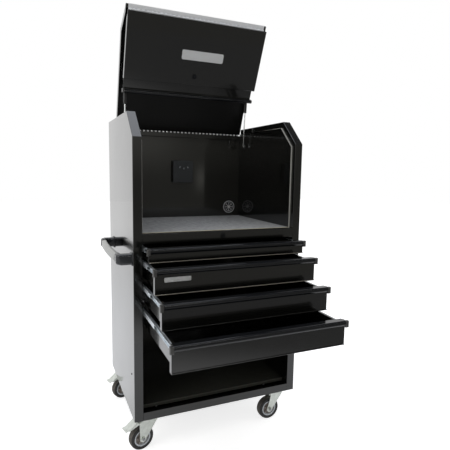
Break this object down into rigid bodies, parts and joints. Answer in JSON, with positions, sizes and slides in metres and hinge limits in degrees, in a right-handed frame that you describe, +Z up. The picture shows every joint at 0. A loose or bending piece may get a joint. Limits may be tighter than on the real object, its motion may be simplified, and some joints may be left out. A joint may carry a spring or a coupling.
{
  "type": "diagnostic tool trolley",
  "caption": "Tall steel tool trolley on swivel casters with a lidded instrument hutch, folding front door, extending drawers, open lower shelf and a side handle.",
  "frame": {"origin": "middle of the footprint of the trolley as pictured, on the floor under the wheels", "axes": "+Z up, +Y from the open front to the back, +X from the handle side to the plain side"},
  "size_m": [0.796, 0.976, 1.8164],
  "materials": {
    "gloss_black_paint": "gloss",
    "grey_mat": "matt",
    "outlet_plastic": "satin",
    "black_rubber": "matt",
    "handle_black": "gloss",
    "grip_grey": "satin",
    "zinc_plate": "satin",
    "lock_chrome": "polished",
    "strut_rod_steel": "polished",
    "strut_tube_paint": "satin",
    "pull_black": "gloss",
    "tyre_rubber": "matt"
  },
  "bodies": {
    "cabinet": {"left_side_panel": "gloss_black_paint", "right_side_panel": "gloss_black_paint", "back_panel": "gloss_black_paint", "base_pan": "gloss_black_paint", "lower_shelf": "gloss_black_paint", "inner_side_panels": "gloss_black_paint", "hutch_liner_left": "gloss_black_paint", "hutch_liner_right": "gloss_black_paint", "lock_rail": "gloss_black_paint", "hutch_deck": "gloss_black_paint", "deck_mat": "grey_mat", "rear_header_rail": "gloss_black_paint", "power_outlet": "outlet_plastic", "cable_grommet": "black_rubber", "handle_brackets": "handle_black", "handle_grip": "grip_grey", "strut_brackets": "gloss_black_paint", "slide_outer_members": "zinc_plate", "caster_plates": "zinc_plate", "caster_bolts": "zinc_plate", "drawer_lock_housing": "zinc_plate", "lid_hinge_fixed_leaf": "gloss_black_paint"},
    "lid": {"lid_panel": "gloss_black_paint", "lid_hinge_moving_leaf": "gloss_black_paint", "lid_strut_studs": "gloss_black_paint", "door_hinge_lid_leaf": "gloss_black_paint"},
    "door": {"door_panel": "gloss_black_paint", "door_hinge_door_leaf": "gloss_black_paint", "door_pull": "pull_black", "door_lock_housing": "zinc_plate"},
    "door_lock": {"door_lock_cylinder": "lock_chrome"},
    "drawer_lock": {"drawer_lock_cylinder": "lock_chrome"},
    "strut_rods": {"strut_rods": "strut_rod_steel"},
    "strut_tubes": {"strut_tubes": "strut_tube_paint"},
    "drawer_1": {"drawer_1_body": "gloss_black_paint", "drawer_1_pull": "pull_black", "drawer_1_inner_slides": "zinc_plate"},
    "drawer_1_middle_slides": {"drawer_1_middle_slides": "zinc_plate"},
    "drawer_2": {"drawer_2_body": "gloss_black_paint", "drawer_2_pull": "pull_black", "drawer_2_inner_slides": "zinc_plate"},
    "drawer_2_middle_slides": {"drawer_2_middle_slides": "zinc_plate"},
    "drawer_3": {"drawer_3_body": "gloss_black_paint", "drawer_3_pull": "pull_black", "drawer_3_inner_slides": "zinc_plate"},
    "drawer_3_middle_slides": {"drawer_3_middle_slides": "zinc_plate"},
    "drawer_4": {"drawer_4_body": "gloss_black_paint", "drawer_4_pull": "pull_black", "drawer_4_inner_slides": "zinc_plate"},
    "drawer_4_middle_slides": {"drawer_4_middle_slides": "zinc_plate"},
    "caster_fork_front_left": {"caster_fork_front_left": "zinc_plate"},
    "caster_wheel_front_left": {"caster_wheel_front_left": "tyre_rubber"},
    "caster_fork_rear_left": {"caster_fork_rear_left": "zinc_plate"},
    "caster_wheel_rear_left": {"caster_wheel_rear_left": "tyre_rubber"},
    "caster_fork_front_right": {"caster_fork_front_right": "zinc_plate"},
    "caster_wheel_front_right": {"caster_wheel_front_right": "tyre_rubber"},
    "caster_fork_rear_right": {"caster_fork_rear_right": "zinc_plate"},
    "caster_wheel_rear_right": {"caster_wheel_rear_right": "tyre_rubber"},
    "brake_pedal_front_left": {"brake_pedal_front_left": "zinc_plate"},
    "brake_pedal_rear_left": {"brake_pedal_rear_left": "zinc_plate"}
  },
  "joints": [
    {"name": "lid_hinge", "type": "hinge", "parent": "cabinet", "child": "lid", "pos_m": [0.03302, 0.45955, 1.327], "axis": [1, 0, 0], "range_deg": [0, 69]},
    {"name": "door_hinge", "type": "hinge", "parent": "lid", "child": "door", "pos_m": [0.03302, 0.19938, 1.79548], "axis": [-1, 0, 0], "range_deg": [0, 93]},
    {"name": "door_lock_turn", "type": "hinge", "parent": "door", "child": "door_lock", "pos_m": [0.03302, 0.27526, 1.56874], "axis": [0, -0.9135, -0.4067], "range_deg": [0, 90]},
    {"name": "drawer_lock_turn", "type": "hinge", "parent": "cabinet", "child": "drawer_lock", "pos_m": [0.03302, -0.09395, 0.8755], "axis": [0, -1, 0], "range_deg": [0, 90]},
    {"name": "strut_tube_swing", "type": "hinge", "parent": "lid", "child": "strut_tubes", "pos_m": [0.03302, 0.34629, 1.59415], "axis": [1, 0, 0], "range_deg": [0, 2.48]},
    {"name": "strut_rod_slide", "type": "slide", "parent": "strut_tubes", "child": "strut_rods", "axis": [0, -0.0752, 0.9972], "range_m": [0, 0.12123]},
    {"name": "drawer_1_slide", "type": "slide", "parent": "cabinet", "child": "drawer_1", "axis": [0, -1, 0], "range_m": [-0.087, 0.313]},
    {"name": "drawer_1_middle_slide", "type": "slide", "parent": "cabinet", "child": "drawer_1_middle_slides", "axis": [0, -1, 0], "range_m": [-0.0435, 0.1565]},
    {"name": "drawer_2_slide", "type": "slide", "parent": "cabinet", "child": "drawer_2", "axis": [0, -1, 0], "range_m": [-0.176, 0.224]},
    {"name": "drawer_2_middle_slide", "type": "slide", "parent": "cabinet", "child": "drawer_2_middle_slides", "axis": [0, -1, 0], "range_m": [-0.088, 0.112]},
    {"name": "drawer_3_slide", "type": "slide", "parent": "cabinet", "child": "drawer_3", "axis": [0, -1, 0], "range_m": [-0.267, 0.133]},
    {"name": "drawer_3_middle_slide", "type": "slide", "parent": "cabinet", "child": "drawer_3_middle_slides", "axis": [0, -1, 0], "range_m": [-0.1335, 0.0665]},
    {"name": "drawer_4_slide", "type": "slide", "parent": "cabinet", "child": "drawer_4", "axis": [0, -1, 0], "range_m": [-0.38, 0.02]},
    {"name": "drawer_4_middle_slide", "type": "slide", "parent": "cabinet", "child": "drawer_4_middle_slides", "axis": [0, -1, 0], "range_m": [-0.19, 0.01]},
    {"name": "caster_swivel_front_left", "type": "hinge", "parent": "cabinet", "child": "caster_fork_front_left", "pos_m": [-0.26398, -0.03795, 0.1356], "axis": [0, 0, 1], "continuous": true},
    {"name": "wheel_spin_front_left", "type": "hinge", "parent": "caster_fork_front_left", "child": "caster_wheel_front_left", "pos_m": [-0.29711, -0.0456, 0.05], "axis": [-0.225, 0.9744, 0], "continuous": true},
    {"name": "brake_pedal_front_left", "type": "hinge", "parent": "caster_fork_front_left", "child": "brake_pedal_front_left", "pos_m": [-0.3166, -0.0501, 0.119], "axis": [0.225, -0.9744, 0], "range_deg": [0, 14]},
    {"name": "caster_swivel_rear_left", "type": "hinge", "parent": "cabinet", "child": "caster_fork_rear_left", "pos_m": [-0.26398, 0.40205, 0.1356], "axis": [0, 0, 1], "continuous": true},
    {"name": "wheel_spin_rear_left", "type": "hinge", "parent": "caster_fork_rear_left", "child": "caster_wheel_rear_left", "pos_m": [-0.29649, 0.39211, 0.05], "axis": [-0.2924, 0.9563, 0], "continuous": true},
    {"name": "brake_pedal_rear_left", "type": "hinge", "parent": "caster_fork_rear_left", "child": "brake_pedal_rear_left", "pos_m": [-0.31562, 0.38626, 0.119], "axis": [0.2924, -0.9563, 0], "range_deg": [0, 14]},
    {"name": "caster_swivel_front_right", "type": "hinge", "parent": "cabinet", "child": "caster_fork_front_right", "pos_m": [0.33002, -0.03795, 0.1356], "axis": [0, 0, 1], "continuous": true},
    {"name": "wheel_spin_front_right", "type": "hinge", "parent": "caster_fork_front_right", "child": "caster_wheel_front_right", "pos_m": [0.29604, -0.03914, 0.05], "axis": [-0.0349, 0.9994, 0], "continuous": true},
    {"name": "caster_swivel_rear_right", "type": "hinge", "parent": "cabinet", "child": "caster_fork_rear_right", "pos_m": [0.33002, 0.40205, 0.1356], "axis": [0, 0, 1], "continuous": true},
    {"name": "wheel_spin_rear_right", "type": "hinge", "parent": "caster_fork_rear_right", "child": "caster_wheel_rear_right", "pos_m": [0.29654, 0.40795, 0.05], "axis": [0.1736, 0.9848, 0], "continuous": true}
  ],
  "couplings": [
    {"joint": "strut_tube_swing", "follows": "lid_hinge", "ratio": 0.03596},
    {"joint": "strut_rod_slide", "follows": "lid_hinge", "m_per_rad": 0.10067},
    {"joint": "drawer_1_middle_slide", "follows": "drawer_1_slide", "ratio": 0.5},
    {"joint": "drawer_2_middle_slide", "follows": "drawer_2_slide", "ratio": 0.5},
    {"joint": "drawer_3_middle_slide", "follows": "drawer_3_slide", "ratio": 0.5},
    {"joint": "drawer_4_middle_slide", "follows": "drawer_4_slide", "ratio": 0.5}
  ]
}
